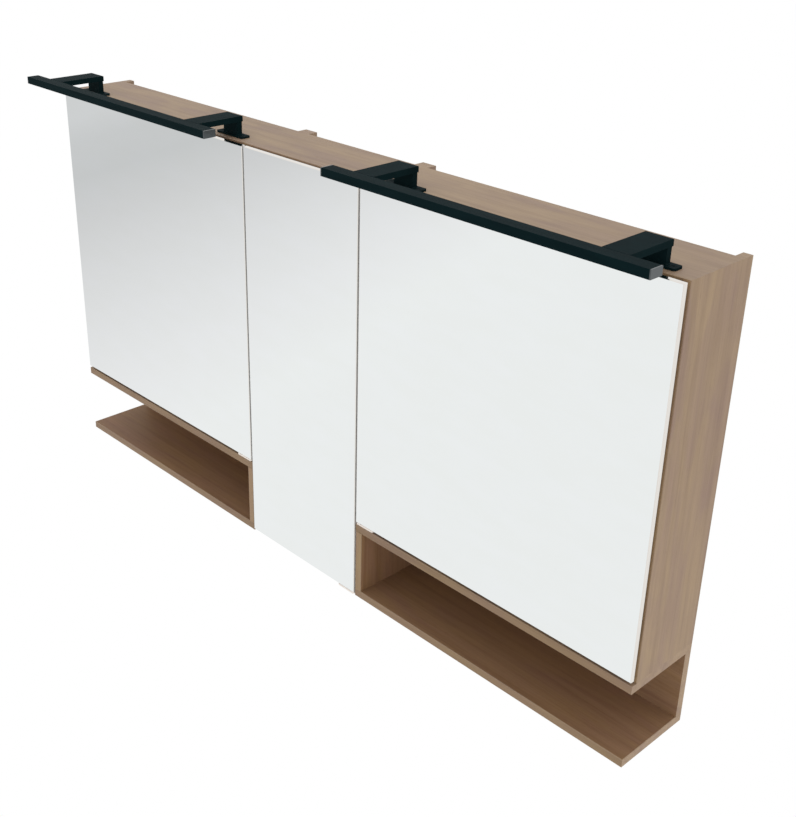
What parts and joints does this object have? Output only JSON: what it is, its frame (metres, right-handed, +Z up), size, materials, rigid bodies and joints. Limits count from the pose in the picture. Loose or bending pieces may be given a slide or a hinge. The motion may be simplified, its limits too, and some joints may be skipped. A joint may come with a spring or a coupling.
{
  "type": "mirror cabinet",
  "caption": "Wall-hung mirror cabinet with hinged mirror doors, glass shelves inside, open niches below the outer doors and black LED bar lamps on top.",
  "frame": {"origin": "on the wall plane, in the middle of the width, at the underside of the niche shelves", "axes": "+X to the right seen from the front, +Y into the wall, +Z up"},
  "size_m": [1.5, 0.241, 0.827],
  "materials": {
    "oak_decor": "light brown oak decor on board, fine grain",
    "back_hardboard": "thin hardboard with oak decor",
    "shelf_glass": "clear float glass with polished edges",
    "nickel_steel": "nickel plated",
    "hanger_plastic": "white moulded",
    "zinc_steel": "zinc plated",
    "catch_plastic": "white moulded",
    "lamp_aluminium": "black anodised",
    "lamp_steel": "black powder coat",
    "lamp_cap_plastic": "black gloss",
    "led_board": "white circuit board",
    "lamp_diffuser": "opal",
    "driver_plastic": "white moulded",
    "switch_plastic": "white moulded",
    "rocker_plastic": "white gloss",
    "mirror_glass": "silvered float glass with a ground arris",
    "door_board": "cream coated fibreboard",
    "pull_plastic": "cream white moulded",
    "bumper_rubber": "soft translucent"
  },
  "bodies": {
    "cabinet": {"left_outer_side": "oak_decor", "left_inner_side": "oak_decor", "centre_left_side": "oak_decor", "centre_right_side": "oak_decor", "right_inner_side": "oak_decor", "right_outer_side": "oak_decor", "left_top_board": "oak_decor", "centre_top_board": "oak_decor", "right_top_board": "oak_decor", "left_bottom_board": "oak_decor", "centre_bottom_board": "oak_decor", "right_bottom_board": "oak_decor", "left_niche_shelf": "oak_decor", "right_niche_shelf": "oak_decor", "left_niche_back": "oak_decor", "right_niche_back": "oak_decor", "left_niche_upright": "oak_decor", "right_niche_upright": "oak_decor", "left_back_panel": "back_hardboard", "centre_back_panel": "back_hardboard", "right_back_panel": "back_hardboard", "left_glass_shelves": "shelf_glass", "centre_glass_shelves": "shelf_glass", "right_glass_shelves": "shelf_glass", "shelf_pins": "nickel_steel", "hinge_arms": "nickel_steel", "hinge_plates": "nickel_steel", "cabinet_screws": "nickel_steel", "cabinet_hangers": "hanger_plastic", "hanger_hooks": "zinc_steel", "wall_rails": "zinc_steel", "magnet_catches": "catch_plastic", "left_lamp_bar": "lamp_aluminium", "right_lamp_bar": "lamp_aluminium", "lamp_brackets": "lamp_steel", "bracket_screws": "lamp_steel", "lamp_end_caps": "lamp_cap_plastic", "led_strips": "led_board", "lamp_diffusers": "lamp_diffuser", "led_driver": "driver_plastic", "switch_box": "switch_plastic"},
    "left_door": {"left_door_mirror": "mirror_glass", "left_door_core": "door_board", "left_hinge_cups": "nickel_steel", "left_finger_pull": "pull_plastic", "left_bumpers": "bumper_rubber", "left_strike_plate": "nickel_steel"},
    "centre_door": {"centre_door_mirror": "mirror_glass", "centre_door_core": "door_board", "centre_hinge_cups": "nickel_steel", "centre_finger_pull": "pull_plastic", "centre_bumpers": "bumper_rubber", "centre_strike_plate": "nickel_steel"},
    "right_door": {"right_door_mirror": "mirror_glass", "right_door_core": "door_board", "right_hinge_cups": "nickel_steel", "right_finger_pull": "pull_plastic", "right_bumpers": "bumper_rubber", "right_strike_plate": "nickel_steel"},
    "rocker": {"switch_rocker": "rocker_plastic"}
  },
  "joints": [
    {"name": "left_door_hinge", "type": "hinge", "parent": "cabinet", "child": "left_door", "pos_m": [-0.7412, -0.1547, 0], "axis": [0, 0, -1], "range_deg": [0, 100]},
    {"name": "centre_door_hinge", "type": "hinge", "parent": "cabinet", "child": "centre_door", "pos_m": [-0.1412, -0.1547, 0], "axis": [0, 0, -1], "range_deg": [0, 100]},
    {"name": "right_door_hinge", "type": "hinge", "parent": "cabinet", "child": "right_door", "pos_m": [0.7412, -0.1547, 0], "axis": [0, 0, 1], "range_deg": [0, 100]},
    {"name": "rocker_tilt", "type": "hinge", "parent": "cabinet", "child": "rocker", "pos_m": [0.098, -0.057, 0.754], "axis": [1, 0, 0], "range_deg": [0, 16]}
  ]
}
